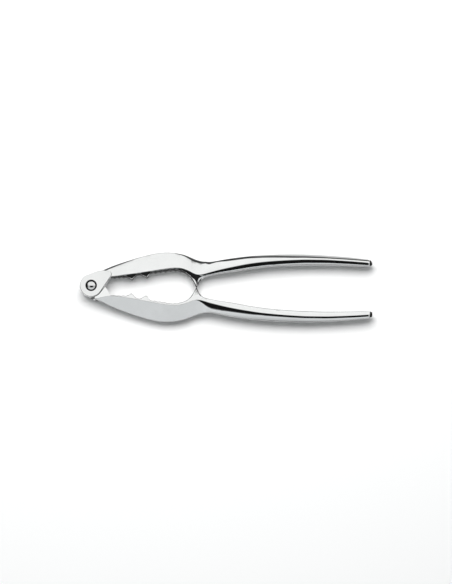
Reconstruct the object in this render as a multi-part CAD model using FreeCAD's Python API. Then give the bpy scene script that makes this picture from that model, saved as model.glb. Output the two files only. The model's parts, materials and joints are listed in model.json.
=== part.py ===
import FreeCAD, Part
import math
import os

# Two-lever nutcracker, lying flat. All lengths in millimetres.
# Row frame: +X from the hinge to the handle tips, +Y towards the upper lever,
# +Z up. Origin: centre of the underside of the bounding box.
# The two levers are one casting; the second is the same casting turned half a
# turn about the long axis, so each carries an eye on one face and a recess for
# its partner's eye on the other.

# ---------------------------------------------------------------- dimensions
EYE_R = 7.35           # outside radius of the hinge eye
TIP_X = 182.65         # handle tip, from the hinge axis
RIDGE_H = 5.0          # half thickness at the ridge, and at the eye's face
PANEL_SLOPE = 0.32     # fall of the outer panel away from the ridge
WEB_H = 2.4            # half thickness of the toothed web
SEAM = 0.20            # height of the eye's inner face above the mid plane
RECESS_R = 7.65        # recess around the partner's eye
BORE_R = 2.55          # running bore in the upper eye
SHANK_R = 2.50         # rivet shank, tight in the lower eye
CBORE_R = 3.56         # counterbore for the rivet head
CBORE_DEPTH = 1.45
HEAD_R = 3.28
HEAD_RISE = 1.35       # dome height above its flat underside
HEAD_GAP = 0.05        # running gap under the head
WASHER_OUT = 3.45      # washer under the tail
WASHER_T = 0.45
TAIL_R = 3.05
TAIL_RISE = 0.80
SPACER_R = 6.80        # thin friction washer between the eyes
SPACER_T = 0.35

# Distance from the hinge, and distance from the closing plane of the pair.
OUTER = [(2.5, 8.5), (4, 9.15), (6, 9.95), (8, 10.72), (10, 11.67), (12, 12.65),
         (16, 14.31), (20, 15.75), (24, 17.15), (28, 18.51), (32, 19.71),
         (36, 20.85), (40, 21.8), (44, 22.43), (48, 22.75), (52, 22.6),
         (56, 22.05), (60, 21.17), (64, 19.65), (68, 18), (72, 16.98), (76, 16.67),
         (80, 17.13), (84, 17.95), (88, 18.72), (94, 19.63), (100, 20.43),
         (110, 21.37), (120, 21.93), (130, 22.2), (136, 22.23), (145, 21.98),
         (155, 21.5), (165, 20.8), (175, 19.75), (182.65, 18.8)]
RIDGE_EYE = [(2.5, 5.5), (12, 5.5), (14, 5.72), (16, 6.15), (18, 6.72), (20, 7.25),
             (24, 7.79), (28, 8.4), (32, 9.05), (36, 9.77), (40, 10.46),
             (44, 11.14), (48, 11.75), (52, 12.2), (54, 12.3), (56, 12.22),
             (58, 11.92), (60, 11.38), (62, 10.65), (64, 9.8), (66, 9.02),
             (68, 8.58), (70, 8.5), (72, 8.82), (74, 9.38), (76, 9.95),
             (80, 10.97), (84, 11.95), (88, 12.82), (94, 14.0), (100, 15.0),
             (110, 16.45), (120, 17.37), (130, 18.02), (140, 18.38),
             (150, 18.38), (160, 18.05), (170, 17.5), (182.65, 16.6)]
RIDGE_RECESS = [(2.5, 8.0), (4, 8.25), (6, 7.85), (8, 7.4), (10.5, 6.92), (13, 6.66),
                (16, 6.85), (18, 7.08), (20, 7.3)] + RIDGE_EYE[6:]
INNER = [(74, 6.98), (76, 7.45), (78, 7.92), (80, 8.35), (84, 9.05), (88, 9.62),
         (92, 10.25), (96, 10.92), (100, 11.62), (105, 12.42), (110, 13.12),
         (115, 13.68), (120, 14.1), (130, 14.66), (140, 14.98), (150, 15.16),
         (160, 15.08), (170, 14.86), (176, 14.7), (182.65, 14.6)]
WEB_EDGE = [(2.5, 2.6), (12, 5.2), (14, 5.5), (16, 5.95), (20, 6.6), (22, 6.8), (24, 6.3), (26, 5.4),
            (28.5, 7.6), (31, 8.5), (33.5, 7.6), (35.5, 6.8), (37.5, 8.9), (40, 9.9),
            (46, 11.0), (52, 11.7), (56, 11.4), (58, 10.9), (60, 10.25), (62, 9.1), (64, 7.2),
            (66, 4.9), (67.9, 3.3), (70, 5.1), (72, 6.6), (74, 7.6), (76, 8.25), (78, 8.8),
            (80, 9.3), (84, 10.0), (88, 10.7), (94, 11.7), (182.65, 15.4)]
# Ridge half thickness along the handle.
RIDGE_THICK = [(2.5, 4.9), (14, 4.92), (20, 4.98), (108, 4.98), (125, 4.85), (145, 4.55),
               (165, 4.2), (178.6, 3.95), (182.65, 3.9)]
RIDGE_THICK_RECESS = [(2.5, 3.0), (4, 4.2), (6, 4.8), (8, 4.97), (14, 4.98)] + RIDGE_THICK[2:]
# 0 keeps the faceted jaw section, 1 gives the rounded handle section.
ROUNDING = [(2.5, 0), (68, 0), (72, 0.12), (76, 0.42), (80, 0.62), (84, 0.75), (90, 0.88),
            (100, 0.97), (110, 1), (182.65, 1)]
# Exponent of the handle's outer crown: higher is flatter near the ridge.
CROWN_POWER = [(2.5, 3), (76, 3), (95, 2.6), (182.65, 2.4)]

# Toothed inner profile of one lever: each scallop is (start, valley, end).
FLANK_A = (6.20, -3.95)
FLANK_B = (12.15, 5.39)
SMALL_SCALLOPS = [((12.15, 5.39), (13.4, 5.9), (14.85, 5.52)),
                  ((14.85, 5.52), (16.3, 6.08), (17.75, 5.68)),
                  ((17.75, 5.68), (19.2, 6.2), (20.65, 5.74)),
                  ((20.65, 5.74), (22.1, 6.12), (23.55, 5.6))]
TOOTH_1 = [(23.55, 5.6), (24.4, 5.42), (25.2, 4.86), (25.65, 4.56), (25.95, 4.5), (26.3, 4.62),
           (26.9, 5.2), (27.8, 6.2), (28.8, 7.12), (29.8, 7.66), (30.9, 7.86), (32.0, 7.66),
           (33.0, 7.12), (34.0, 6.48), (34.8, 6.02), (35.3, 5.86), (35.7, 5.86), (36.1, 6.1),
           (36.7, 7.0), (37.3, 7.95), (37.75, 8.35)]
LARGE_SCALLOPS = [((37.75, 8.35), (39.6, 9.15), (41.2, 8.98)),
                  ((41.2, 8.98), (42.9, 9.68), (44.5, 9.46)),
                  ((44.5, 9.46), (46.1, 10.15), (47.75, 9.92)),
                  ((47.75, 9.92), (49.4, 10.62), (51.0, 10.34)),
                  ((51.0, 10.34), (52.5, 10.92), (54.1, 10.48)),
                  ((54.1, 10.48), (55.6, 10.74), (57.0, 10.12))]
STOP_TIP = [(57.0, 10.12), (58.5, 9.85), (60, 9.36), (61.5, 8.6), (63, 7.45), (64.2, 6.1), (65.2, 4.65),
            (66.1, 3.1), (66.9, 1.45), (67.35, 0.56), (67.6, 0.2), (67.9, 0.06), (68.2, 0.21),
            (68.4, 0.66), (68.8, 1.75), (69.5, 3.3), (70.4, 4.6), (71.6, 5.65), (73.2, 6.6),
            (75, 7.22), (77, 7.72), (79, 8.15), (81.5, 8.58), (84, 8.86), (88, 9.1)]
PAD_OUTER = [(12.5, 9.1), (10, 9.65), (7.5, 9.97), (5, 9.65), (2.5, 8.92), (0, 7.97), (-2.75, 6.815)]

TIP_START = 178.6      # where the rounded nose of the handle begins
SECTIONS = [2.5, 4, 6, 8, 10, 12, 14, 16, 18, 20, 22, 24, 26, 28.5, 31, 33.5, 35.5, 37.5, 40, 43, 46,
            49, 52, 54, 56, 58, 60, 62, 64, 66, 67.9, 70, 72, 74, 76, 78, 80, 82, 84, 87, 90, 94,
            98, 103, 108, 114, 121, 129, 137, 145, 153, 161, 169, 174, TIP_START, 180.4, 181.6,
            182.3, TIP_X]


# ---------------------------------------------------------------- helpers
def curve(table, x):
    """Monotone cubic through the table's points."""
    if x <= table[0][0]:
        return float(table[0][1])
    if x >= table[-1][0]:
        return float(table[-1][1])
    n = len(table)
    d = [(table[i + 1][1] - table[i][1]) / (table[i + 1][0] - table[i][0]) for i in range(n - 1)]
    k = 0
    while x > table[k + 1][0]:
        k += 1

    def slope(i):
        if i == 0:
            return d[0]
        if i == n - 1:
            return d[-1]
        if d[i - 1] * d[i] <= 0:
            return 0.0
        h0 = table[i][0] - table[i - 1][0]
        h1 = table[i + 1][0] - table[i][0]
        w0, w1 = 2 * h1 + h0, h1 + 2 * h0
        return (w0 + w1) / (w0 / d[i - 1] + w1 / d[i])

    h = table[k + 1][0] - table[k][0]
    t = (x - table[k][0]) / h
    a, b = slope(k), slope(k + 1)
    return ((2 * t ** 3 - 3 * t ** 2 + 1) * table[k][1] + (t ** 3 - 2 * t ** 2 + t) * h * a
            + (-2 * t ** 3 + 3 * t ** 2) * table[k + 1][1] + (t ** 3 - t ** 2) * h * b)


def loft_inner(x):
    """Inner side of the rough body: inside the teeth and the stop tip, then the handle."""
    if x <= 60:
        return 2.4
    if x <= 73:
        return 2.4 + (-1.6 - 2.4) * min(1.0, (x - 60) / 3.0)
    if x >= 83:
        return curve(INNER, x)
    t = (x - 73) / 10.0
    s = t * t * (3 - 2 * t)
    return -1.6 + s * (curve(INNER, 83) + 1.6)


def half_section(x, eye_side):
    """Four chains of (y, height) from the outer wall over the ridge to the inner wall."""
    yo = curve(OUTER, x)
    yr = curve(RIDGE_EYE if eye_side else RIDGE_RECESS, x)
    h = curve(RIDGE_THICK if eye_side else RIDGE_THICK_RECESS, x)
    yi = loft_inner(x)
    w = curve(ROUNDING, x)
    p = curve(CROWN_POWER, x)
    yw = max(min(curve(WEB_EDGE, x), yr - 0.15), yi + 0.25)
    zw = WEB_H
    if not eye_side and x < 16:
        zw = 0.35 + (WEB_H - 0.35) * max(0.0, (x - 9.0) / 7.0)
        yw = yr - (h - zw)
        if x > 12:
            yw = yw + (curve(WEB_EDGE, x) - yw) * (x - 12) / 4.0
    zo = max(0.6, h - PANEL_SLOPE * (yo - yr))
    lo, li = yo - yr, yr - yi
    flat = [(yo, 0.0), (yo, zo), (yr, h), (yw, zw), (yi, zw if yw > yi else h), (yi, 0.0)]
    marks = [0.0, 0.36, 1.0, 1.55, 1.72, 2.0]   # same stops on the rounded section
    chains = []
    for e in range(5):
        chain = []
        for j in range(5):
            t = j / 4.0
            fy = flat[e][0] + (flat[e + 1][0] - flat[e][0]) * t
            fz = flat[e][1] + (flat[e + 1][1] - flat[e][1]) * t
            m = marks[e] + (marks[e + 1] - marks[e]) * t
            if m <= 1.0:
                # outer quarter: flattened crown
                a = m * math.pi / 2
                u = math.cos(a) ** (2.0 / p)
                ry, rz = yr + lo * u, h * math.sqrt(max(0.0, 1 - u ** p))
            else:
                a = (m - 1.0) * math.pi / 2
                ry, rz = yr - li * math.sin(a), h * math.cos(a)
            chain.append((fy + (ry - fy) * w, fz + (rz - fz) * w))
        chains.append(chain)
    return chains, (yo, yi)


def section_wire(x):
    scale = 1.0
    if x > TIP_START:
        scale = math.sqrt(max(0.0, 1 - ((x - TIP_START) / (TIP_X - TIP_START + 0.03)) ** 2))
    top, ends = half_section(x, True)
    low, _ = half_section(x, False)
    mid = 0.5 * (ends[0] + ends[1])

    def place(y, z, sign):
        return FreeCAD.Vector(x, mid + (y - mid) * scale, sign * z * scale)

    chains = []
    wall = [place(y, z, -1) for y, z in reversed(low[0])] + [place(y, z, 1) for y, z in top[0][1:]]
    chains.append(wall)
    for c in top[1:4]:
        chains.append([place(y, z, 1) for y, z in c])
    wall = [place(y, z, 1) for y, z in top[4]] + [place(y, z, -1) for y, z in reversed(low[4][:-1])]
    chains.append(wall)
    for c in reversed(low[1:4]):
        chains.append([place(y, z, -1) for y, z in reversed(c)])
    edges = []
    for c in chains:
        b = Part.BSplineCurve()
        b.interpolate(c)
        edges.append(b.toShape())
    return Part.Wire(edges)


def prism(edges, z0, z1):
    face = Part.Face(Part.Wire(edges))
    face.translate(FreeCAD.Vector(0, 0, z0))
    return face.extrude(FreeCAD.Vector(0, 0, z1 - z0))


def vec(p, z=0.0):
    return FreeCAD.Vector(p[0], p[1], z)


def spline(points):
    b = Part.BSplineCurve()
    b.interpolate([vec(p) for p in points])
    return b.toShape()


def line(a, b):
    return Part.LineSegment(vec(a), vec(b)).toShape()


# ---------------------------------------------------------------- the casting
body = Part.makeLoft([section_wire(x) for x in SECTIONS], True, True, False, 3)

# Everything inside the toothed profile is open.
edges = [line((2.6, -9.6), FLANK_A), line(FLANK_A, FLANK_B)]
for a, m, b in SMALL_SCALLOPS:
    edges.append(Part.Arc(vec(a), vec(m), vec(b)).toShape())
edges.append(spline(TOOTH_1))
for a, m, b in LARGE_SCALLOPS:
    edges.append(Part.Arc(vec(a), vec(m), vec(b)).toShape())
edges.append(spline(STOP_TIP))
edges += [line(STOP_TIP[-1], (88, -16)), line((88, -16), (2.6, -16)), line((2.6, -16), (2.6, -9.6))]
mouth = prism(edges, -8, 8)

# The eye: a flat pad standing at ridge height, with its rounded end.
edges = [Part.Arc(vec(PAD_OUTER[-1]), vec((-EYE_R, 0)), vec(FLANK_A)).toShape(),
         line(FLANK_A, FLANK_B), line(FLANK_B, (13.2, 6.3)), line((13.2, 6.3), PAD_OUTER[0]),
         spline(PAD_OUTER)]
eye = prism(edges, SEAM, RIDGE_H)
rim = [e for e in eye.Edges if abs(e.BoundBox.ZMin - RIDGE_H) < 1e-6 and abs(e.BoundBox.ZMax - RIDGE_H) < 1e-6
       and e.BoundBox.XMin < 0]
eye = eye.makeFillet(0.4, rim)

recess = Part.makeCylinder(RECESS_R, 8 + SEAM, vec((0, 0), -8))
lever = body.cut(mouth).cut(recess).fuse(eye)
lever = lever.cut(Part.makeCylinder(BORE_R, 20, vec((0, 0), -10)))
lever = lever.cut(Part.makeCylinder(CBORE_R, 5, vec((0, 0), RIDGE_H - CBORE_DEPTH)))
solids = sorted(lever.Solids, key=lambda s: -s.Volume)
print("casting:", [round(s.Volume, 2) for s in solids], "valid", lever.isValid())
lever = solids[0]

upper = lever.copy()
lower = lever.copy()
lower.rotate(FreeCAD.Vector(0, 0, 0), FreeCAD.Vector(1, 0, 0), 180)
# The lower eye grips the rivet: its bore is filled back to the shank's size.
collar = Part.makeCylinder(BORE_R, RIDGE_H - CBORE_DEPTH - SEAM, vec((0, 0), -(RIDGE_H - CBORE_DEPTH))).cut(
    Part.makeCylinder(SHANK_R, 20, vec((0, 0), -10)))
lower = lower.fuse(collar).removeSplitter()
lower = sorted(lower.Solids, key=lambda s: -s.Volume)[0]


# ---------------------------------------------------------------- the pivot
def dome(radius, rise, z, up):
    """Cap of a sphere with a short straight edge."""
    edge = 0.25
    cap = rise - edge
    ball = (radius ** 2 + cap ** 2) / (2 * cap)
    s = 1 if up else -1
    mid = math.asin(radius / ball) / 2
    pts = [FreeCAD.Vector(0, 0, z), FreeCAD.Vector(radius, 0, z), FreeCAD.Vector(radius, 0, z + s * edge)]
    arc = Part.Arc(pts[2], FreeCAD.Vector(ball * math.sin(mid), 0, z + s * (edge + cap - ball + ball * math.cos(mid))),
                   FreeCAD.Vector(0, 0, z + s * rise)).toShape()
    wire = Part.Wire([Part.LineSegment(pts[0], pts[1]).toShape(), Part.LineSegment(pts[1], pts[2]).toShape(), arc,
                      Part.LineSegment(FreeCAD.Vector(0, 0, z + s * rise), pts[0]).toShape()])
    return Part.Face(wire).revolve(FreeCAD.Vector(0, 0, 0), FreeCAD.Vector(0, 0, 1), 360)


head_z = RIDGE_H - CBORE_DEPTH + HEAD_GAP
washer_z = -(RIDGE_H - CBORE_DEPTH)
tail_z = washer_z - WASHER_T
rivet = Part.makeCylinder(SHANK_R, head_z - tail_z + 0.4, vec((0, 0), tail_z - 0.2))
rivet = rivet.fuse(dome(HEAD_R, HEAD_RISE, head_z, True)).fuse(dome(TAIL_R, TAIL_RISE, tail_z, False)).removeSplitter()
washer = Part.makeCylinder(WASHER_OUT, WASHER_T, vec((0, 0), tail_z)).cut(
    Part.makeCylinder(SHANK_R, 20, vec((0, 0), -10)))
spacer = Part.makeCylinder(SPACER_R, SPACER_T, vec((0, 0), -SEAM)).cut(
    Part.makeCylinder(SHANK_R, 20, vec((0, 0), -10)))

parts = {"upper_lever": upper, "lower_lever": lower, "hinge_rivet": rivet,
         "rivet_washer": washer, "friction_washer": spacer}

# ---------------------------------------------------------------- row frame
box = FreeCAD.BoundBox()
for shape in parts.values():
    box.add(shape.optimalBoundingBox(False, False))
shift = FreeCAD.Vector(-0.5 * (box.XMin + box.XMax), -0.5 * (box.YMin + box.YMax), -box.ZMin)
print("box", [round(v, 3) for v in (box.XLength, box.YLength, box.ZLength)], "shift", [round(v, 3) for v in shift])

os.makedirs("parts", exist_ok=True)
for name, shape in parts.items():
    shape = shape.copy()
    shape.translate(shift)
    print(name, "solids", len(shape.Solids), "valid", shape.isValid(), "volume", round(shape.Volume, 2),
          "faces", len(shape.Faces))
    shape.exportStep("parts/%s.step" % name)
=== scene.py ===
import bpy
import bmesh
import json
import math
from mathutils import Vector, Matrix


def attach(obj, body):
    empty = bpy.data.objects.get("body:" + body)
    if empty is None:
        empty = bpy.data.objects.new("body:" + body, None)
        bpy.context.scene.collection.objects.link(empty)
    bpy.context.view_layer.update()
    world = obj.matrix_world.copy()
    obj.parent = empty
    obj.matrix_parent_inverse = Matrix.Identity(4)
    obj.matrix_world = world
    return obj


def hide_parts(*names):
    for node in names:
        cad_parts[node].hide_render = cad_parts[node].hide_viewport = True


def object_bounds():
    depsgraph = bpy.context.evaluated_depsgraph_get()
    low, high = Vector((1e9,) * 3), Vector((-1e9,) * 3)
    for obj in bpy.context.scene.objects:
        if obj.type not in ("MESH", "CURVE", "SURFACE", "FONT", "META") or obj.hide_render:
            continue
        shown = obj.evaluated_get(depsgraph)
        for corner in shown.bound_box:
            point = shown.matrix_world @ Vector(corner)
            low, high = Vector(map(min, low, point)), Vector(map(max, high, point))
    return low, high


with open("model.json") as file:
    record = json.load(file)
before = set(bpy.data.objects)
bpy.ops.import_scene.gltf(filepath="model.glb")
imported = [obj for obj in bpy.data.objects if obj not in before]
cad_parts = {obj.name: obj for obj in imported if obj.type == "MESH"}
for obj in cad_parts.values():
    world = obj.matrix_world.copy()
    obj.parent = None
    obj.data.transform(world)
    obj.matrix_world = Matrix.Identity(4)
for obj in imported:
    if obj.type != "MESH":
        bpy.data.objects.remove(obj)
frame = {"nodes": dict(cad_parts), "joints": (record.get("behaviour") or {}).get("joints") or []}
cad_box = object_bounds()

# ------------------------------------------------------------------ the lever
# One casting, in millimetres: x from the hinge, y from the closing plane of the
# pair, z from the mid plane. Side "eye" carries the hinge eye, side "recess"
# the hollow for the other lever's eye.
EYE_R, TIP_X, H0 = 7.347, 182.65, 4.99999
RECESS_R, CBORE_R, CBORE_Z, BORE_R, SEAM = 7.65, 3.56, 3.55, 2.55, 0.20
TIP_START = 178.6

OUTER = [(2.5, 8.5), (4, 9.15), (6, 9.95), (8, 10.72), (10, 11.67), (12, 12.65),
         (16, 14.31), (20, 15.75), (24, 17.15), (28, 18.51), (32, 19.71),
         (36, 20.85), (40, 21.8), (44, 22.43), (48, 22.75), (52, 22.6),
         (56, 22.05), (60, 21.17), (64, 19.65), (68, 18), (72, 16.98), (76, 16.67),
         (80, 17.13), (84, 17.95), (88, 18.72), (94, 19.63), (100, 20.43),
         (110, 21.37), (120, 21.93), (130, 22.2), (136, 22.23), (145, 21.98),
         (155, 21.5), (165, 20.8), (175, 19.75), (182.65, 18.8)]
RIDGE_EYE = [(2.5, 5.8), (12, 6.05), (14, 6.28), (16, 6.5), (18, 6.78), (20, 7.15),
             (24, 7.68), (28, 8.28), (32, 8.9), (36, 9.58), (40, 10.26),
             (44, 10.94), (48, 11.56), (52, 12.05), (54, 12.2), (56, 12.18),
             (58, 11.95), (60, 11.42), (62, 10.65), (64, 9.72), (66, 8.7),
             (68, 8.02), (70, 7.85), (72, 8.17), (74, 8.78), (76, 9.42),
             (80, 10.58), (84, 11.62), (88, 12.52), (94, 13.8), (100, 15.0),
             (110, 16.45), (120, 17.37), (130, 18.02), (140, 18.38),
             (150, 18.38), (160, 18.05), (170, 17.5), (182.65, 16.6)]
RIDGE_RECESS = [(2.5, 8.0), (4, 8.25), (6, 7.85), (8, 7.4), (10.5, 6.92), (13, 6.66),
                (16, 6.9), (18, 7.12), (20, 7.35), (24, 7.9), (28, 8.52), (32, 9.2),
                (36, 9.96), (40, 10.64), (44, 11.34), (48, 11.94), (52, 12.32),
                (54, 12.4), (56, 12.28), (58, 11.9), (60, 11.36), (62, 10.7),
                (64, 9.95), (66, 9.2), (68, 8.74), (70, 8.66), (72, 8.96), (74, 9.5),
                (76, 10.05), (80, 11.0), (84, 11.97), (88, 12.84), (94, 14.0)] + RIDGE_EYE[30:]
THICK_EYE = [(2.5, 4.9), (14, 4.92), (20, 4.98), (108, 4.98), (125, 4.85), (145, 4.55),
             (165, 4.2), (178.6, 3.95), (182.65, 3.9)]
THICK_RECESS = [(2.5, 4.6), (4, 4.8), (6, 4.93), (8, 4.97), (14, 4.98)] + THICK_EYE[2:]
# Widths, in mm, of the near-flat facet beside the ridge: on the outer side and on the inner side.
FACET_OUT = [(2.5, 0.10), (67.0, 0.10), (68.2, 0.35), (71.4, 1.9), (75.3, 3.7), (78.0, 4.2), (80.5, 4.1), (87, 3.3),
             (94.7, 2.8), (102.5, 2.45), (110, 2.05), (122, 1.75), (137, 1.6), (182.65, 1.5)]
FACET_IN = [(2.5, 0.04), (68.6, 0.04), (71, 0.6), (74, 1.35), (78, 1.9), (84, 2.2), (95, 2.25), (110, 2.2), (130, 2.0),
            (160, 1.8), (182.65, 1.5)]
# How fast the outer side curves beyond that facet, and the width of the roll-off at the outer edge.
FACET_IN_EYE = [(2.5, 0.04), (68.6, 0.04), (71, 0.85), (74, 1.7), (78, 2.0), (84, 2.3), (95, 2.4), (110, 2.35), (130, 2.15),
                (160, 1.85), (182.65, 1.5)]
GROWTH = [(2.5, 0), (73, 0), (78, 0.10), (90, 0.11), (102, 0.125), (109, 0.16), (120, 0.175), (135, 0.23), (160, 0.23), (182.65, 0.2)]
ROLL_EYE = [(2.5, 1.5), (12, 1.4), (20, 1.0), (27, 0.6), (33, 0.35), (52, 0.35), (57, 0.8), (60, 1.2), (62.5, 1.7),
            (66, 2.1), (69.5, 2.0), (74, 1.8), (78, 1.4), (82, 0.8), (182.65, 0.5)]
ROLL_RECESS = [(2.5, 0.3), (74, 0.3), (80, 0.5), (182.65, 0.5)]
EDGE_OUT = [(2.5, 0.28), (70, 0.28), (85, 0.45), (182.65, 0.5)]
EDGE_IN = [(2.5, 0.27), (60, 0.27), (63, 0.42), (65.4, 0.85), (70, 0.85), (76, 0.8), (84, 0.9), (182.65, 1.0)]
RIM = [(2.5, 0.80), (64.8, 0.80), (66.6, 1.40), (69.3, 1.40), (71.5, 0.85), (182.65, 0.85)]
RIM_SLOPE = [(2.5, 0), (67.9, 0), (68.3, 0.23), (80, 0.25), (182.65, 0.28)]
BEVEL = 0.70
PANEL = [(2.5, 0.32), (69, 0.32), (74, 0.26), (80, 0.205), (182.65, 0.205)]
LAND = [(2.5, 1.75), (69, 1.7), (72, 2.2), (76, 3.1), (82, 4.0), (90, 4.6), (182.65, 4.6)]   # half thickness of the toothed land
FLANK_A, FLANK_B = (6.20, -3.95), (12.15, 5.39)
SCALLOPS = [((12.15, 5.39), (13.4, 5.9), (14.85, 5.52)),
            ((14.85, 5.52), (16.3, 6.08), (17.75, 5.68)),
            ((17.75, 5.68), (19.2, 6.2), (20.65, 5.74)),
            ((20.65, 5.74), (22.1, 6.12), (23.55, 5.6)),
            ((37.75, 8.35), (39.6, 9.15), (41.2, 8.98)),
            ((41.2, 8.98), (42.9, 9.68), (44.5, 9.46)),
            ((44.5, 9.46), (46.1, 10.15), (47.75, 9.92)),
            ((47.75, 9.92), (49.4, 10.62), (51.0, 10.34)),
            ((51.0, 10.34), (52.5, 10.92), (54.1, 10.48)),
            ((54.1, 10.48), (55.6, 10.74), (57.0, 10.12))]
TEETH = [(23.55, 5.6), (24.4, 5.42), (25.2, 4.86), (25.65, 4.56), (25.95, 4.5), (26.3, 4.62),
         (26.9, 5.2), (27.8, 6.2), (28.8, 7.12), (29.8, 7.66), (30.9, 7.86), (32.0, 7.66),
         (33.0, 7.12), (34.0, 6.48), (34.8, 6.02), (35.3, 5.86), (35.7, 5.86), (36.1, 6.1),
         (36.7, 7.0), (37.3, 7.95), (37.75, 8.35)]
INNER = [(57.0, 10.12), (58.5, 9.85), (60, 9.36), (61.5, 8.6), (63, 7.45), (64.2, 6.1), (65.2, 4.65),
         (66.1, 3.1), (66.9, 1.45), (67.35, 0.56), (67.6, 0.2), (67.9, 0.06), (68.2, 0.21),
         (68.4, 0.66), (68.8, 1.75), (69.5, 3.3), (70.4, 4.6), (71.6, 5.65), (73.2, 6.6),
         (75, 7.22), (77, 7.72), (80, 8.35), (84, 9.05), (88, 9.62), (92, 10.25), (96, 10.92),
         (100, 11.62), (105, 12.42), (110, 13.12), (115, 13.68), (120, 14.1), (130, 14.66),
         (140, 14.98), (150, 15.16), (160, 15.08), (170, 14.86), (176, 14.7), (182.65, 14.6)]
PAD_OUTER = [(12.5, 9.1), (10, 9.65), (7.5, 9.97), (5, 9.65), (2.5, 8.92), (0, 7.97), (-2.75, 6.815)]


class Curve:
    """Monotone cubic through a table's points."""

    def __init__(self, table):
        self.x = [float(p[0]) for p in table]
        self.y = [float(p[1]) for p in table]
        n = len(table)
        d = [(self.y[i + 1] - self.y[i]) / (self.x[i + 1] - self.x[i]) for i in range(n - 1)]
        m = [d[0]] + [0.0] * (n - 2) + [d[-1]]
        for i in range(1, n - 1):
            if d[i - 1] * d[i] > 0:
                h0, h1 = self.x[i] - self.x[i - 1], self.x[i + 1] - self.x[i]
                w0, w1 = 2 * h1 + h0, h1 + 2 * h0
                m[i] = (w0 + w1) / (w0 / d[i - 1] + w1 / d[i])
        self.m = m

    def __call__(self, x):
        xs = self.x
        if x <= xs[0]:
            return self.y[0]
        if x >= xs[-1]:
            return self.y[-1]
        lo, hi = 0, len(xs) - 1
        while hi - lo > 1:
            mid = (lo + hi) // 2
            if xs[mid] <= x:
                lo = mid
            else:
                hi = mid
        h = xs[hi] - xs[lo]
        t = (x - xs[lo]) / h
        return ((2 * t ** 3 - 3 * t ** 2 + 1) * self.y[lo] + (t ** 3 - 2 * t ** 2 + t) * h * self.m[lo]
                + (-2 * t ** 3 + 3 * t ** 2) * self.y[hi] + (t ** 3 - t ** 2) * h * self.m[hi])


outer_t = Curve(OUTER)
facet_out, growth = Curve(FACET_OUT), Curve(GROWTH)
facet_in = {"eye": Curve(FACET_IN_EYE), "recess": Curve(FACET_IN)}
roll = {"eye": Curve(ROLL_EYE), "recess": Curve(ROLL_RECESS)}
edge_out, edge_in, rim_w, rim_slope = Curve(EDGE_OUT), Curve(EDGE_IN), Curve(RIM), Curve(RIM_SLOPE)
panel_c, land_c = Curve(PANEL), Curve(LAND)


def outer_c(x):
    return min(outer_t(x), 22.735)


ridge_c = {"eye": Curve(RIDGE_EYE), "recess": Curve(RIDGE_RECESS)}
thick_c = {"eye": Curve(THICK_EYE), "recess": Curve(THICK_RECESS)}
teeth_c, inner_c = Curve(TEETH), Curve(INNER)


def circle3(a, b, c):
    ax, ay, bx, by, cx, cy = *a, *b, *c
    d = 2 * (ax * (by - cy) + bx * (cy - ay) + cx * (ay - by))
    ux = ((ax ** 2 + ay ** 2) * (by - cy) + (bx ** 2 + by ** 2) * (cy - ay) + (cx ** 2 + cy ** 2) * (ay - by)) / d
    uy = ((ax ** 2 + ay ** 2) * (cx - bx) + (bx ** 2 + by ** 2) * (ax - cx) + (cx ** 2 + cy ** 2) * (bx - ax)) / d
    return ux, uy, math.hypot(ax - ux, ay - uy)


SCALLOP_ARCS = [(s[0][0], s[2][0], circle3(*s)) for s in SCALLOPS]


def flank(x):
    return FLANK_A[1] + (x - FLANK_A[0]) * (FLANK_B[1] - FLANK_A[1]) / (FLANK_B[0] - FLANK_A[0])


def inner_y(x):
    """Toothed inner profile, and the handle's inner side beyond it."""
    if x < FLANK_B[0]:
        return max(flank(x) - 0.6 * min(1.0, (FLANK_B[0] - x) / 0.5), -1.0)
    if TEETH[0][0] <= x <= TEETH[-1][0]:
        return teeth_c(x)
    for a, b, (cx, cy, r) in SCALLOP_ARCS:
        if a - 1e-9 <= x <= b + 1e-9:
            return cy + math.sqrt(max(0.0, r * r - (x - cx) ** 2))
    return inner_c(x)


_prof = [(FLANK_B[0] + 0.04 * i, 0) for i in range(int((92 - FLANK_B[0]) / 0.04))]
_prof = [(x, inner_y(x)) for x, _ in _prof]


def rim_y(x, d):
    """The inner profile set back into the metal by d."""
    i0 = max(0, int((x - d - FLANK_B[0]) / 0.04) - 1)
    i1 = min(len(_prof), int((x + d - FLANK_B[0]) / 0.04) + 2)
    best = inner_y(x) + d * 0.98
    for px, py in _prof[i0:i1]:
        q = d * d - (x - px) ** 2
        if q > 0:
            best = max(best, py + math.sqrt(q))
    return best


def integrate(nodes, slopes, z0):
    """Height along nodes for the given downward slopes."""
    z = [z0]
    for i in range(1, len(nodes)):
        z.append(z[-1] - 0.5 * (slopes[i] + slopes[i - 1]) * (nodes[i] - nodes[i - 1]))
    return z


def lin(a, b, n):
    return [a + (b - a) * i / n for i in range(n)]


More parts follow.
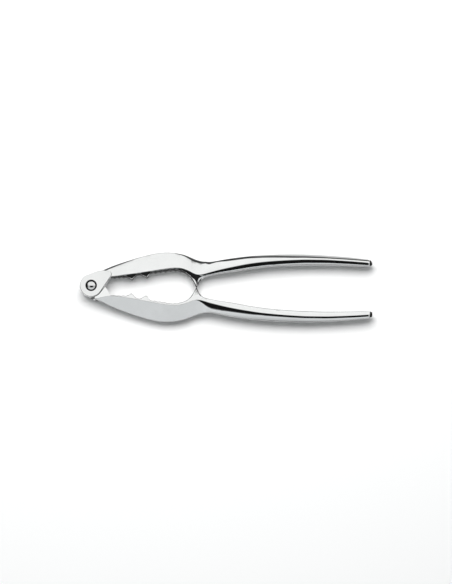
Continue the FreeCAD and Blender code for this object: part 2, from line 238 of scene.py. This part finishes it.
def half_section(x, side):
    """Half of a cross section as (y, z), outer wall to inner wall, the same number of points everywhere."""
    yo, h = outer_c(x), thick_c[side](x)
    yi = inner_y(x)
    yr = max(ridge_c[side](x), yi + 0.20)
    L, Li = yo - yr, yr - yi
    # outer side: facet, panel, roll-off, edge
    wb = min(facet_out(x), 0.7 * L, 0.15 * L if L < 1.0 else 99)
    g, e, ps = growth(x), roll[side](x), panel_c(x)
    if side == "eye" and x > 110:
        q = min(1.0, (x - 110) / 45.0)
        wb, ps = wb * (1 - 0.45 * q), ps + 0.13 * q

    def so(s):
        v = 0.035 + 0.170 * min(1.0, s / wb) + (ps - 0.205) * min(1.0, max(0.0, (s - wb) / 0.12))
        v = min(v + g * max(0.0, s - wb), max(v, 0.57))
        return min(v + (0.27 / e) * max(0.0, s - (L - e)) * min(1.0, max(0.0, (84 - x) / 5.0)), max(v, 0.47))

    R = min(edge_out(x), 0.4 * L)
    end = L
    for _ in range(3):
        end = L - R * (1 - math.sin(math.atan(so(end))))
    k = max(wb + 0.3 * (end - wb), min(L - e, end - 0.05))
    k = max(k, wb + 0.16)
    nodes = lin(0, wb, 4) + [wb, wb + 0.06] + lin(wb + 0.12, k, 4) + lin(k, max(end, k + 0.04), 4) + [max(end, k + 0.04)]
    z = integrate(nodes, [so(s) for s in nodes], h)
    th = math.atan(so(end))
    out = [(yr + s, v) for s, v in zip(nodes, z)]
    zc, yc = z[-1] - R * math.cos(th), yo - R
    for i in range(1, 6):
        f = th + (math.pi / 2 - th) * i / 5
        out.append((yc + R * math.sin(f), zc + R * math.cos(f)))
    out.append((yo, 0.0))
    out.reverse()
    # inner side: facet, bevel, rim, edge
    wf = min(facet_in[side](x), (0.5 + 0.2 * min(1.0, max(0.0, (x - 72) / 6.0))) * Li)
    if side == "recess" and x < FLANK_B[0]:
        Lb, rs, bev = Li - 0.06, 0.22, 0.22
    else:
        d = rim_w(x)
        if side == "recess":
            d *= min(1.0, 0.25 + (x - FLANK_B[0]) / 1.2)
        Lb = min(max(yr - rim_y(x, d), wf + 0.05), Li - 0.10)
        rs, bev = rim_slope(x) * (1.6 if side == "eye" and x > 72 else 1.0), BEVEL
        if side == "recess":
            bev = 0.22 + (BEVEL - 0.22) * min(1.0, (x - FLANK_B[0]) / 1.4)
        if x > 70:
            q = min(1.0, (x - 70) / 6.0)
            Lb = Lb * (1 - q) + min(Lb, wf + 0.06) * q
    ri = min(edge_in(x), 0.4 * Li, max(0.02, 0.6 * (Li - Lb)))
    B = max(0.02, Lb - wf)
    c1 = min(0.10, 0.35 * B)
    c2 = min(0.05, 0.2 * B, 0.3 * (Li - Lb))
    endi = Li - ri * (1 - math.sin(math.atan(rs)))
    nodes = [0, wf * 0.5, wf, wf + c1 * 0.5, wf + c1] + lin(wf + c1, Lb, 4)[1:] + [Lb]
    top = 0.205 if wf > 0.2 else 0.035 + 0.17 * wf / 0.2
    slopes = [0.035, (0.035 + top) / 2, top, (top + bev) / 2, bev, bev, bev, bev, bev]
    if B < 0.25:      # no bevel left on the handle: the facet rolls straight into the inner strip
        m = (0.25 - B) / 0.23
        for i in range(3, 9):
            slopes[i] += (top - slopes[i]) * m
    z = integrate(nodes, slopes, h)
    # the toothed land, a step below the bevel
    zl = min(z[-1], max(land_c(x), 0.3)) if not (side == "recess" and x < FLANK_B[0]) else z[-1]
    step = min(0.03, 0.2 * (Li - Lb))
    a1 = max(endi, Lb + step + 0.01)
    strip = lin(Lb + step, a1, 3) + [a1]
    zs = integrate(strip, [rs] * 4, zl)
    nodes, z = nodes + strip, z + zs
    low = 0.25 if side == "recess" else 0.1
    inn = [(yr - v, max(low, u)) for v, u in zip(nodes, z)]
    th = math.atan(rs)
    zc, yc = max(low, z[-1]) - ri * math.cos(th), yi + ri
    for i in range(1, 5):
        f = th + (math.pi / 2 - th) * i / 4
        inn.append((yc - ri * math.sin(f), zc + ri * math.cos(f)))
    inn.append((yi, 0.0))
    return [(y, max(0.0, v)) for y, v in out + inn[1:]]


def stations():
    xs = set()

    def run(a, b, step):
        n = max(1, int(math.ceil((b - a) / step - 1e-6)))
        for i in range(n + 1):
            xs.add(round(a + (b - a) * i / n, 4))

    run(2.5, FLANK_B[0], 0.4)
    for s in SCALLOPS:
        run(s[0][0], s[2][0], 0.2)
    run(23.55, 25.2, 0.15)
    run(25.2, 26.9, 0.07)
    run(26.9, 34.8, 0.2)
    run(34.8, 37.75, 0.1)
    run(57.0, 64.2, 0.3)
    run(64.2, 66.6, 0.13)
    run(66.6, 69.2, 0.06)
    run(69.2, 73.2, 0.16)
    run(73.2, 84, 0.4)
    run(84, 112, 0.8)
    run(112, TIP_START, 1.4)
    out = sorted(xs)
    for i in range(1, 17):
        out.append(TIP_START + (TIP_X - TIP_START) * math.sin(i / 16.0 * math.pi / 2))
    return out


def make_object(name, verts, faces):
    me = bpy.data.meshes.new(name)
    me.from_pydata([Vector(v) for v in verts], [], faces)
    me.update()
    ob = bpy.data.objects.new(name, me)
    bpy.context.scene.collection.objects.link(ob)
    return ob


def lever_body():
    verts, rings = [], []
    xs = stations()
    for x in xs[:-1]:
        s = 1.0
        if x > TIP_START:
            s = math.sqrt(max(0.0, 1 - ((x - TIP_START) / (TIP_X - TIP_START)) ** 2))
        top, low = half_section(x, "eye"), half_section(x, "recess")
        mid = 0.5 * (outer_c(x) + inner_y(x))
        ring = [(x, mid + (y - mid) * s, z * s) for y, z in top]
        ring += [(x, mid + (y - mid) * s, -z * s) for y, z in reversed(low[1:-1])]
        rings.append(list(range(len(verts), len(verts) + len(ring))))
        verts += ring
    n = len(rings[0])
    faces = []
    for a, b in zip(rings, rings[1:]):
        for i in range(n):
            j = (i + 1) % n
            faces.append((a[i], a[j], b[j], b[i]))
    faces.append(tuple(reversed(rings[0])))
    verts.append((TIP_X, 0.5 * (outer_c(TIP_X) + inner_y(TIP_X)), 0.0))
    t = len(verts) - 1
    for i in range(n):
        faces.append((rings[-1][i], rings[-1][(i + 1) % n], t))
    ob = make_object("body", verts, faces)
    bm = bmesh.new()
    bm.from_mesh(ob.data)
    bmesh.ops.remove_doubles(bm, verts=bm.verts, dist=1e-5)
    bmesh.ops.recalc_face_normals(bm, faces=bm.faces)
    bm.to_mesh(ob.data)
    bm.free()
    return ob


def catmull(points, n):
    """Smooth open curve through the points."""
    out = []
    for i in range(len(points) - 1):
        p0 = Vector(points[max(0, i - 1)]); p1 = Vector(points[i])
        p2 = Vector(points[i + 1]); p3 = Vector(points[min(len(points) - 1, i + 2)])
        for k in range(n):
            t = k / n
            out.append(tuple(0.5 * ((2 * p1) + (p2 - p0) * t + (2 * p0 - 5 * p1 + 4 * p2 - p3) * t * t
                                    + (3 * p1 - p0 - 3 * p2 + p3) * t ** 3)))
    out.append(tuple(points[-1]))
    return out


def pad_outline():
    a0 = math.atan2(PAD_OUTER[-1][1], PAD_OUTER[-1][0])
    a1 = math.atan2(FLANK_A[1], FLANK_A[0]) + 2 * math.pi
    n = 90
    pts = [(EYE_R * math.cos(a0 + (a1 - a0) * i / n), EYE_R * math.sin(a0 + (a1 - a0) * i / n)) for i in range(n)]
    for i in range(14):
        t = i / 14
        pts.append((FLANK_A[0] + (FLANK_B[0] - FLANK_A[0]) * t, FLANK_A[1] + (FLANK_B[1] - FLANK_A[1]) * t))
    pts += [FLANK_B, (12.75, 5.95), (13.05, 6.9), (12.95, 8.0)]
    pts += catmull(PAD_OUTER, 6)[:-1]
    return pts


def inset(pts, d):
    """A counter-clockwise outline moved inwards by d."""
    n, out = len(pts), []
    for i in range(n):
        a, p, b = Vector(pts[i - 1]), Vector(pts[i]), Vector(pts[(i + 1) % n])
        u, v = (p - a).normalized(), (b - p).normalized()
        nu, nv = Vector((-u.y, u.x)), Vector((-v.y, v.x))
        m = (nu + nv).normalized()
        out.append(tuple(p + m * (d / max(0.5, m.dot(nu)))))
    return out


def outline_solid(name, pts, levels):
    """levels: (z, inset) from the bottom up."""
    verts, faces, n = [], [], len(pts)
    for z, d in levels:
        verts += [(x, y, z) for x, y in inset(pts, d)]
    for k in range(len(levels) - 1):
        for i in range(n):
            j = (i + 1) % n
            faces.append((k * n + i, k * n + j, (k + 1) * n + j, (k + 1) * n + i))
    faces.append(tuple(reversed(range(n))))
    faces.append(tuple(range((len(levels) - 1) * n, len(levels) * n)))
    return make_object(name, verts, faces)


def lathe(name, profile, n=96):
    """Closed body turned about Z; the profile runs from the axis to the axis, upwards on the outside."""
    verts, faces, rings = [], [], []
    for r, z in profile:
        if r < 1e-7:
            rings.append([len(verts)])
            verts.append((0, 0, z))
        else:
            rings.append(list(range(len(verts), len(verts) + n)))
            verts += [(r * math.cos(2 * math.pi * i / n), r * math.sin(2 * math.pi * i / n), z) for i in range(n)]
    for a, b in zip(rings, rings[1:]):
        for i in range(n):
            j = (i + 1) % n
            if len(a) == 1 and len(b) == 1:
                continue
            if len(a) == 1:
                faces.append((a[0], b[j], b[i]))
            elif len(b) == 1:
                faces.append((a[i], a[j], b[0]))
            else:
                faces.append((a[i], a[j], b[j], b[i]))
    ob = make_object(name, verts, faces)
    bm = bmesh.new()
    bm.from_mesh(ob.data)
    bmesh.ops.recalc_face_normals(bm, faces=bm.faces)
    bm.to_mesh(ob.data)
    bm.free()
    return ob


def tube(name, profile, n=96):
    """As lathe, but the profile is a closed ring that doesn't touch the axis."""
    verts, faces, m = [], [], len(profile)
    for r, z in profile:
        verts += [(r * math.cos(2 * math.pi * i / n), r * math.sin(2 * math.pi * i / n), z) for i in range(n)]
    for k in range(m):
        q = (k + 1) % m
        for i in range(n):
            j = (i + 1) % n
            faces.append((k * n + i, k * n + j, q * n + j, q * n + i))
    ob = make_object(name, verts, faces)
    bm = bmesh.new()
    bm.from_mesh(ob.data)
    bmesh.ops.recalc_face_normals(bm, faces=bm.faces)
    bm.to_mesh(ob.data)
    bm.free()
    return ob


def boolean(target, tool, operation):
    m = target.modifiers.new("b", "BOOLEAN")
    m.operation, m.solver, m.object = operation, "EXACT", tool
    dg = bpy.context.evaluated_depsgraph_get()
    me = bpy.data.meshes.new_from_object(target.evaluated_get(dg))
    old = target.data
    target.modifiers.clear()
    target.data = me
    bpy.data.meshes.remove(old)
    bpy.data.objects.remove(tool, do_unlink=True)


def arc_points(cx, cz, r, a0, a1, n):
    return [(cx + r * math.cos(math.radians(a0 + (a1 - a0) * i / n)),
             cz + r * math.sin(math.radians(a0 + (a1 - a0) * i / n))) for i in range(n + 1)]


def make_casting():
    body = lever_body()
    cut = outline_solid("flank_cut", [(2.0, -10.543), (2.0, -30.0), (12.2, -30.0), (12.2, 5.468)],
                        [(-9, 0), (9, 0)])
    boolean(body, cut, "DIFFERENCE")
    boolean(body, lathe("recess_cut", [(0, -9), (RECESS_R, -9), (RECESS_R, SEAM + 0.012), (0, SEAM + 0.012)], 128),
            "DIFFERENCE")
    r = 0.42
    levels = [(SEAM, 0.10), (SEAM + 0.10, 0.0)]
    levels += [(H0 - r + r * math.sin(math.radians(a)), r * (1 - math.cos(math.radians(a))))
               for a in (0, 18, 36, 54, 72, 90)]
    boolean(body, outline_solid("pad", pad_outline(), levels), "UNION")
    c = 0.22
    cutter = [(0, -9), (BORE_R, -9), (BORE_R, CBORE_Z), (CBORE_R, CBORE_Z), (CBORE_R, H0 - c)]
    cutter += [(CBORE_R + c - c * math.cos(math.radians(a)), H0 - c + c * math.sin(math.radians(a)))
               for a in (22, 45, 68, 90)]
    cutter += [(CBORE_R + c, H0 + 2), (0, H0 + 2)]
    boolean(body, lathe("bore_cut", cutter, 128), "DIFFERENCE")
    bm = bmesh.new()
    bm.from_mesh(body.data)
    bmesh.ops.remove_doubles(bm, verts=bm.verts, dist=2e-5)
    bmesh.ops.dissolve_degenerate(bm, edges=bm.edges, dist=1e-5)
    bm.to_mesh(body.data)
    bm.free()
    return body


def finish_shading(ob, angle=26.0, weighted=True):
    me = ob.data
    for p in me.polygons:
        p.use_smooth = True
    me.set_sharp_from_angle(angle=math.radians(angle))
    if weighted:
        m = ob.modifiers.new("normals", "WEIGHTED_NORMAL")
        m.mode, m.weight, m.keep_sharp = "FACE_AREA", 70, True


# ------------------------------------------------------------------ placing
joint = frame["joints"][0]
HX, HY = joint["pos_m"][0], joint["pos_m"][1]
HZ = 0.5 * (cad_box[0][2] + cad_box[1][2])
PLACE = Matrix.Translation((HX, HY, HZ)) @ Matrix.Scale(0.001, 4)
FLIP = Matrix.Rotation(math.pi, 4, "X")


def place(ob, name, body, slot, *nodes, flip=False):
    ob.data.transform(PLACE @ (FLIP if flip else Matrix.Identity(4)))
    ob.name = name
    ob.data.name = name
    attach(ob, body)
    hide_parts(*nodes)
    return ob


casting = make_casting()
twin = casting.copy()
twin.data = casting.data.copy()
bpy.context.scene.collection.objects.link(twin)
upper = place(casting, "upper_lever_casting", "upper", "plated_casting", "upper_lever")
lower = place(twin, "lower_lever_casting", "lower", "plated_casting", "lower_lever", flip=True)
finish_shading(upper)
finish_shading(lower)

# rivet: shank, domed head in the eye's counterbore, turned-over tail
hz, hr, rise = CBORE_Z + 0.05, 3.28, 1.35
ball, crown = 7.4, 2.62                      # sphere radius and how far out it reaches
am = math.degrees(math.asin(crown / ball))
prof = [(0, -4.8)]
tr, trise, tedge = 3.05, 0.80, 0.2
tcap = trise - tedge
tball = (tr ** 2 + tcap ** 2) / (2 * tcap)
tm = math.degrees(math.asin(tr / tball))
for i in range(1, 13):
    a = math.radians(tm * i / 12)
    prof.append((tball * math.sin(a), -4.0 - tedge - tcap + tball - tball * math.cos(a)))
prof += [(tr + 0.0, -4.0 - 0.06), (tr - 0.06, -4.0), (2.5, -4.0), (2.5, hz), (hr - 0.06, hz), (hr, hz + 0.06)]
zt = hz + rise - ball + ball * math.cos(math.radians(am))      # height where dome meets shoulder
sr = hr - crown
for i in range(0, 9):
    a = math.radians(90 * i / 9)
    prof.append((crown + sr * math.cos(a), zt - 0.62 + 0.60 * math.sin(a)))
for i in range(0, 24):
    a = math.radians(am * (1 - i / 24))
    prof.append((ball * math.sin(a), hz + rise - ball + ball * math.cos(a)))
prof.append((0, hz + rise))
rivet = place(lathe("rivet", prof, 96), "hinge_rivet_domed", "lower", "rivet_steel", "hinge_rivet")
finish_shading(rivet, 40.0, False)

c = 0.06
burr = tube("burr", [(2.505, -4.0 + c), (2.505 + c, -4.0), (3.45 - c, -4.0), (3.45, -4.0 + c), (3.45, -3.55 - c),
                     (3.45 - c, -3.55), (2.505 + c, -3.55), (2.505, -3.55 - c)])
burr = place(burr, "rivet_burr_washer", "lower", "washer_steel", "rivet_washer")
finish_shading(burr, 30.0, False)
spacer = tube("spacer", [(2.505, -SEAM + c), (2.505 + c, -SEAM), (6.8 - c, -SEAM), (6.8, -SEAM + c), (6.8, 0.15 - c),
                         (6.8 - c, 0.15), (2.505 + c, 0.15), (2.505, 0.15 - c)])
spacer = place(spacer, "eye_friction_washer", "lower", "washer_steel", "friction_washer")
finish_shading(spacer, 30.0, False)


# ------------------------------------------------------------------ materials
def metal(name, colour, rough, spread, scratch, bump, scale, coat=0.0):
    """Polished metal: slow unevenness in polish, fine directionless hairlines and a trace of waviness."""
    m = bpy.data.materials.new(name)
    m.use_nodes = True
    nt = m.node_tree
    b = nt.nodes["Principled BSDF"]
    b.inputs["Metallic"].default_value = 1.0
    tc = nt.nodes.new("ShaderNodeTexCoord")

    def noise(sc, detail, rough_, off=(0, 0, 0), stretch=(1, 1, 1)):
        mp = nt.nodes.new("ShaderNodeMapping")
        mp.inputs["Location"].default_value = off
        mp.inputs["Scale"].default_value = stretch
        nt.links.new(tc.outputs["Object"], mp.inputs["Vector"])
        n = nt.nodes.new("ShaderNodeTexNoise")
        n.inputs["Scale"].default_value = sc
        n.inputs["Detail"].default_value = detail
        n.inputs["Roughness"].default_value = rough_
        nt.links.new(mp.outputs["Vector"], n.inputs["Vector"])
        return n.outputs["Fac"]

    def ramp(src, p0, v0, p1, v1):
        r = nt.nodes.new("ShaderNodeValToRGB")
        r.color_ramp.elements[0].position, r.color_ramp.elements[1].position = p0, p1
        r.color_ramp.elements[0].color = (*v0, 1) if isinstance(v0, tuple) else (v0, v0, v0, 1)
        r.color_ramp.elements[1].color = (*v1, 1) if isinstance(v1, tuple) else (v1, v1, v1, 1)
        nt.links.new(src, r.inputs["Fac"])
        return r.outputs["Color"]

    slow = noise(90 * scale, 4, 0.55)
    lines_a = noise(900 * scale, 3, 0.6, (3, 1, 7), (0.06, 1.0, 1.0))
    lines_b = noise(760 * scale, 3, 0.6, (9, 4, 2), (1.0, 0.08, 1.0))
    # colour: plating that is a hair darker where the polish is uneven
    dark = tuple(v * 0.955 for v in colour)
    nt.links.new(ramp(slow, 0.35, dark, 0.65, colour), b.inputs["Base Color"])
    # roughness
    ra = ramp(lines_a, 0.60, 0.0, 0.74, 1.0)
    rb = ramp(lines_b, 0.62, 0.0, 0.76, 1.0)
    mx = nt.nodes.new("ShaderNodeMath"); mx.operation = "MAXIMUM"
    nt.links.new(ra, mx.inputs[0]); nt.links.new(rb, mx.inputs[1])
    mul = nt.nodes.new("ShaderNodeMath"); mul.operation = "MULTIPLY_ADD"
    mul.inputs[1].default_value = scratch
    nt.links.new(mx.outputs[0], mul.inputs[0])
    base = nt.nodes.new("ShaderNodeMapRange")
    base.inputs["From Min"].default_value, base.inputs["From Max"].default_value = 0.3, 0.7
    base.inputs["To Min"].default_value, base.inputs["To Max"].default_value = rough, rough + spread
    nt.links.new(slow, base.inputs["Value"])
    nt.links.new(base.outputs["Result"], mul.inputs[2])
    nt.links.new(mul.outputs[0], b.inputs["Roughness"])
    # waviness left by hand polishing, and the hairlines themselves
    wav = noise(34 * scale, 2, 0.4, (5, 5, 5))
    bp = nt.nodes.new("ShaderNodeBump")
    bp.inputs["Strength"].default_value = bump
    bp.inputs["Distance"].default_value = 0.00006
    nt.links.new(wav, bp.inputs["Height"])
    nt.links.new(bp.outputs["Normal"], b.inputs["Normal"])
    return m


chrome = metal("bright_chrome_plating", (0.885, 0.885, 0.885), 0.035, 0.03, 0.035, 0.22, 1.0)
nickel = metal("nickel_plated_rivet_steel", (0.80, 0.80, 0.80), 0.07, 0.05, 0.06, 0.25, 3.0)
steel = metal("turned_washer_steel", (0.52, 0.525, 0.53), 0.24, 0.10, 0.08, 0.4, 3.0)
# dark material that paints the shade and dark reflections along the toothed edge
painted_edge_shade = metal("painted_tooth_edge_shade", (0.10, 0.10, 0.10), 0.30, 0.10, 0.08, 0.4, 3.0)
# near-black material that paints the shade in the rivet's counterbore
dark = metal("painted_recess_shade", (0.05, 0.05, 0.05), 0.35, 0.1, 0.05, 0.3, 3.0)
for ob, m in ((upper, chrome), (lower, chrome), (rivet, nickel), (burr, steel), (spacer, steel)):
    ob.data.materials.clear()
    ob.data.materials.append(m)
# painted shade: the counterbore round the rivet head and the head's shoulder get a near-black material standing in for
# the shade and dark reflections in the recess
for ob in (upper, lower, rivet):
    ob.data.materials.append(dark)
    for p in ob.data.polygons:
        c = p.center
        r = math.hypot(c.x - HX, c.y - HY) * 1000
        z = abs(c.z - HZ) * 1000
        if ob is rivet:
            if c.z > HZ and z > CBORE_Z + 0.02 and r > 2.66:
                p.material_index = 1
        elif z > CBORE_Z - 0.05 and c.z > HZ and all(
                math.hypot(ob.data.vertices[i].co.x - HX, ob.data.vertices[i].co.y - HY) < 0.00001 + (CBORE_R + 0.16) / 1000
                for i in p.vertices):
            p.material_index = 1
# painted shade: the walls and edge fillets of the toothed edge and the stop tips get a dark material standing in for
# the dark reflections and shade along them
for ob, sign in ((upper, 1.0), (lower, -1.0)):
    ob.data.materials.append(painted_edge_shade)
    for p in ob.data.polygons:
        x, y = (p.center.x - HX) * 1000, sign * (p.center.y - HY) * 1000
        if FLANK_B[0] + 0.3 < x < 71.0 and abs(p.normal.z) < 0.985 and y < inner_y(x) + edge_in(x) + 0.12:
            p.material_index = 2
for name, ob in frame["nodes"].items():
    m = chrome if "lever" in name else nickel if name == "hinge_rivet" else steel
    for s in ob.material_slots:
        s.material = m

# ------------------------------------------------------------------ stage
fm = bpy.data.materials.new("studio_floor")
fm.use_nodes = True
fb = fm.node_tree.nodes["Principled BSDF"]
fb.inputs["Base Color"].default_value = (0.93, 0.93, 0.93, 1)
fb.inputs["Roughness"].default_value = 0.9
fb.inputs["Specular IOR Level"].default_value = 0.0
S = 3.0
floor = make_object("studio_floor", [(-S, -S, 0), (S, -S, 0), (S, S, 0), (-S, S, 0)], [(0, 1, 2, 3)])
floor.location.z = cad_box[0][2] - 0.00005
floor.data.materials.append(fm)

# Soft studio surroundings: brightness by direction only. "tilt" is the angle
# from straight up towards the front (-Y), -90 at the back horizon.
world = bpy.data.worlds.new("studio")
bpy.context.scene.world = world
world.use_nodes = True
nt = world.node_tree
nt.nodes.clear()
tc = nt.nodes.new("ShaderNodeTexCoord")
sep = nt.nodes.new("ShaderNodeSeparateXYZ")
nt.links.new(tc.outputs["Generated"], sep.inputs[0])


def math_node(op, a, b=None, c=None):
    n = nt.nodes.new("ShaderNodeMath")
    n.operation = op
    for i, v in enumerate((a, b, c)):
        if v is None:
            continue
        if isinstance(v, (int, float)):
            n.inputs[i].default_value = v
        else:
            nt.links.new(v, n.inputs[i])
    return n.outputs[0]


front = math_node("MULTIPLY", sep.outputs["Y"], -1.0)
tilt = math_node("ARCTAN2", front, sep.outputs["Z"])          # radians
tdeg = math_node("MULTIPLY", tilt, 180.0 / math.pi)
fac = math_node("MULTIPLY_ADD", tdeg, 1.0 / 360.0, 0.5)       # -180..180 -> 0..1
POWER = 1.4
TILT = [(-180, 0.95), (-92, 1.0), (-84, 1.00), (-75, 0.99), (-70.5, 0.78), (-66, 0.30), (-60, 0.07), (-48.6, 0.03),
        (-46.8, 1.0), (-40, 1.02), (-30, 1.02), (-14, 0.98), (-7.5, 0.96), (-5, 0.06), (-3, 0.010), (9, 0.006), (12, 0.03),
        (13.2, 0.74), (15, 0.82), (19, 0.78), (25, 0.71), (30, 0.70), (38, 0.60), (46, 0.54), (50, 0.44), (52.5, 0.02),
        (84, 0.008), (90, 0.05), (94, 0.60), (180, 0.90)]
rampn = nt.nodes.new("ShaderNodeValToRGB")
cr = rampn.color_ramp
cr.interpolation = "LINEAR"
while len(cr.elements) > 1:
    cr.elements.remove(cr.elements[-1])
first = True
for deg, v in TILT:
    pos = (deg + 180) / 360.0
    if first:
        e = cr.elements[0]
        e.position = pos
        first = False
    else:
        e = cr.elements.new(pos)
    tint = (0.992, 1.006, 0.998) if deg < 0 else (0.972, 1.004, 1.015)
    e.color = tuple(v * t / POWER for t in tint) + (1,)
nt.links.new(fac, rampn.inputs["Fac"])
bg = nt.nodes.new("ShaderNodeBackground")
# the far left and right of the room are dark
side = math_node("ABSOLUTE", sep.outputs["X"])
open_ = math_node("SUBTRACT", 0.66, side)
gain = math_node("MULTIPLY", open_, POWER / 0.14)
gain = math_node("MINIMUM", math_node("MAXIMUM", gain, 0.03), POWER)
# the dark strip overhead is short: beyond its ends the ceiling shows again
ends = math_node("MINIMUM", math_node("MAXIMUM", math_node("MULTIPLY", math_node("SUBTRACT", side, 0.24), 8.0), 0.0), 1.0)
band = math_node("SUBTRACT", 9.0, math_node("ABSOLUTE", math_node("SUBTRACT", tdeg, 4.0)))
band = math_node("MINIMUM", math_node("MAXIMUM", math_node("MULTIPLY", band, 0.5), 0.0), 1.0)
fill = nt.nodes.new("ShaderNodeMixRGB")
fill.inputs["Color2"].default_value = (0.60 / POWER, 0.61 / POWER, 0.61 / POWER, 1)
nt.links.new(math_node("MULTIPLY", ends, band), fill.inputs["Fac"])
nt.links.new(rampn.outputs["Color"], fill.inputs["Color1"])
nt.links.new(fill.outputs["Color"], bg.inputs["Color"])
nt.links.new(gain, bg.inputs["Strength"])
out = nt.nodes.new("ShaderNodeOutputWorld")
nt.links.new(bg.outputs[0], out.inputs["Surface"])

# the key light that throws the soft shadow towards the front; mirrors don't see it
key = bpy.data.lights.new("overhead_key", "AREA")
key.shape, key.size, key.size_y = "RECTANGLE", 0.9, 0.62
key.energy = 9.0
ko = bpy.data.objects.new("overhead_key", key)
ko.location = (-0.08, 0.39, 0.82)
ko.rotation_euler = (Vector((0, 0, 0)) - ko.location).to_track_quat("-Z", "Y").to_euler()
ko.visible_glossy = False
bpy.context.scene.collection.objects.link(ko)

# ------------------------------------------------------------------ camera
TILT_CAM, ROLL, DIST = 9.0, 0.6, 1.15
PX = 0.0006474                      # metres per image pixel at the object
cam = bpy.data.cameras.new("camera")
cam.sensor_fit = "AUTO"
cam.sensor_width = 36.0
cam.lens = 36.0 * DIST / (584 * PX)
co = bpy.data.objects.new("camera", cam)
t = math.radians(TILT_CAM)
back = Vector((0, -math.sin(t), math.cos(t)))
up = Vector((0, math.cos(t), math.sin(t)))
right = Vector((1, 0, 0))
rr = math.radians(ROLL)
# the object's axis runs slightly down to the right in the picture
r2 = right * math.cos(rr) + up * math.sin(rr)
u2 = up * math.cos(rr) - right * math.sin(rr)
rot = Matrix((r2, u2, back)).transposed()
# the hinge at mid height sits at pixel (91.7, 286.6) of 452 x 584
hinge = Vector((HX, HY, HZ))
target = hinge + r2 * ((226 - 91.7) * PX) - u2 * ((292 - 286.6) * PX)
co.matrix_world = Matrix.Translation(target + back * DIST) @ rot.to_4x4()
cam.clip_start, cam.clip_end = 0.05, 20.0
bpy.context.scene.collection.objects.link(co)
bpy.context.scene.camera = co
bpy.context.scene.view_settings.view_transform = "Standard"
bpy.context.scene.view_settings.look = "None"
